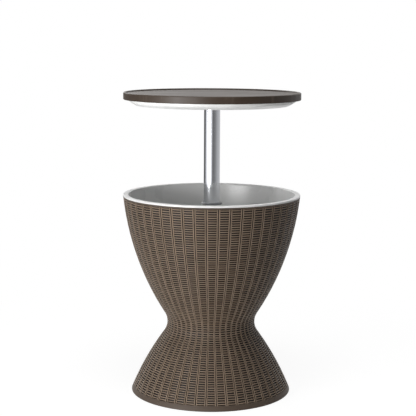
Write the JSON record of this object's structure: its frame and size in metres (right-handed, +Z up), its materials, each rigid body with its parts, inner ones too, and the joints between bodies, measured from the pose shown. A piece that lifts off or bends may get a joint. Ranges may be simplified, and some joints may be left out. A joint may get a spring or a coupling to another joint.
{
  "type": "cooler side table",
  "caption": "Round side table on an hourglass ice bucket of moulded wicker, with a table top on a pole that lifts from the bucket and locks by a twist.",
  "frame": {"origin": "on the floor under the middle of the pole", "axes": "+Z up along the pole, +Y to the back, where the drain is, +X to the right"},
  "size_m": [0.498, 0.498, 0.85],
  "materials": {
    "wicker": "moulded wicker, satin",
    "brown_plastic": "satin",
    "white_plastic": "smooth",
    "pole_metal": "polished",
    "grey_plastic": "satin",
    "steel": "zinc plated",
    "rubber": "matte"
  },
  "bodies": {
    "stand": {"lower_shell": "wicker", "upper_shell": "wicker", "bucket_liner": "white_plastic", "guide_column": "white_plastic", "guide_bush": "grey_plastic", "column_seal": "rubber", "ring_nut": "grey_plastic", "foot_washer": "steel", "foot_bolt": "steel", "waist_screws": "steel", "drain_spout": "white_plastic", "drain_seal": "rubber", "drain_nut": "brown_plastic"},
    "lock_foot": {"lock_sleeve": "grey_plastic"},
    "wedge": {"lock_wedge": "brown_plastic"},
    "top": {"table_top": "brown_plastic", "lid_pan": "white_plastic", "pan_screws": "steel", "pole_head": "grey_plastic", "head_screws": "steel", "head_pin": "steel", "pole": "pole_metal", "spindle": "grey_plastic", "spindle_pin": "steel", "spindle_washer": "steel", "spindle_screw": "steel"},
    "plug": {"drain_plug": "brown_plastic"}
  },
  "joints": [
    {"name": "top_lift", "type": "slide", "parent": "stand", "child": "lock_foot", "axis": [0, 0, 1], "range_m": [-0.265, 0]},
    {"name": "lock_twist", "type": "hinge", "parent": "lock_foot", "child": "top", "pos_m": [0, 0, 0.5], "axis": [0, 0, -1], "range_deg": [-90, 0]},
    {"name": "wedge_travel", "type": "slide", "parent": "lock_foot", "child": "wedge", "axis": [0, 0, 1], "range_m": [-0.001, 0]},
    {"name": "drain_pull", "type": "slide", "parent": "stand", "child": "plug", "axis": [0, 1, 0], "range_m": [0, 0.035]}
  ],
  "couplings": [
    {"joint": "wedge_travel", "follows": "lock_twist", "m_per_rad": 0.0006366}
  ]
}
